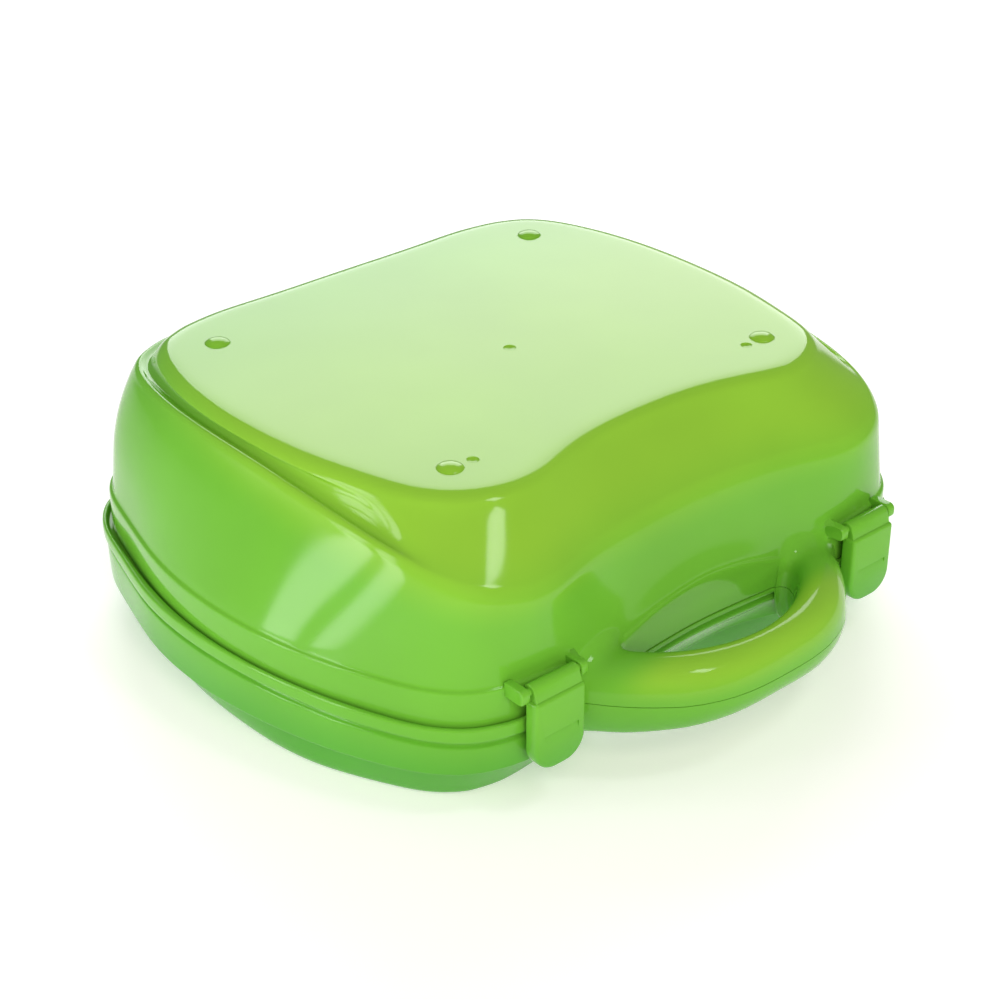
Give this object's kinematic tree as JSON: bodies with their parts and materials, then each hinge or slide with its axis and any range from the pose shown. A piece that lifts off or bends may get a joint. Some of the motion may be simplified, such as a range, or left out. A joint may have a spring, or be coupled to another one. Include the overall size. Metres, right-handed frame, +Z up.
{
  "type": "hinged carry case with deep tray and cover",
  "caption": "Moulded plastic carry case: deep tray hinged to a shallow cover, with a split D handle and snap latches, lying cover down.",
  "frame": {"origin": "centre of the footprint, on the surface that the closed case lies on with its cover down", "axes": "+Z up, +X along the hinge to the right seen from the handle, the handle points to -Y and the hinge is at +Y"},
  "size_m": [0.3026, 0.2867, 0.1184],
  "materials": {
    "lime_plastic": "glossy moulded",
    "pin_plastic": "satin moulded"
  },
  "bodies": {
    "cover": {"cover_shell": "lime_plastic", "hinge_pin_left": "pin_plastic", "hinge_pin_right": "pin_plastic"},
    "tray": {"tray_shell": "lime_plastic"},
    "left_latch": {"latch_left": "lime_plastic"},
    "right_latch": {"latch_right": "lime_plastic"}
  },
  "joints": [
    {"name": "tray_hinge", "type": "hinge", "parent": "cover", "child": "tray", "pos_m": [0, 0.1403, 0.045], "axis": [-1, 0, 0], "range_deg": [0, 120]},
    {"name": "left_latch_hinge", "type": "hinge", "parent": "tray", "child": "left_latch", "pos_m": [-0.085, -0.1066, 0.055], "axis": [-1, 0, 0], "range_deg": [0, 110]},
    {"name": "right_latch_hinge", "type": "hinge", "parent": "tray", "child": "right_latch", "pos_m": [0.085, -0.1066, 0.055], "axis": [-1, 0, 0], "range_deg": [0, 110]}
  ]
}
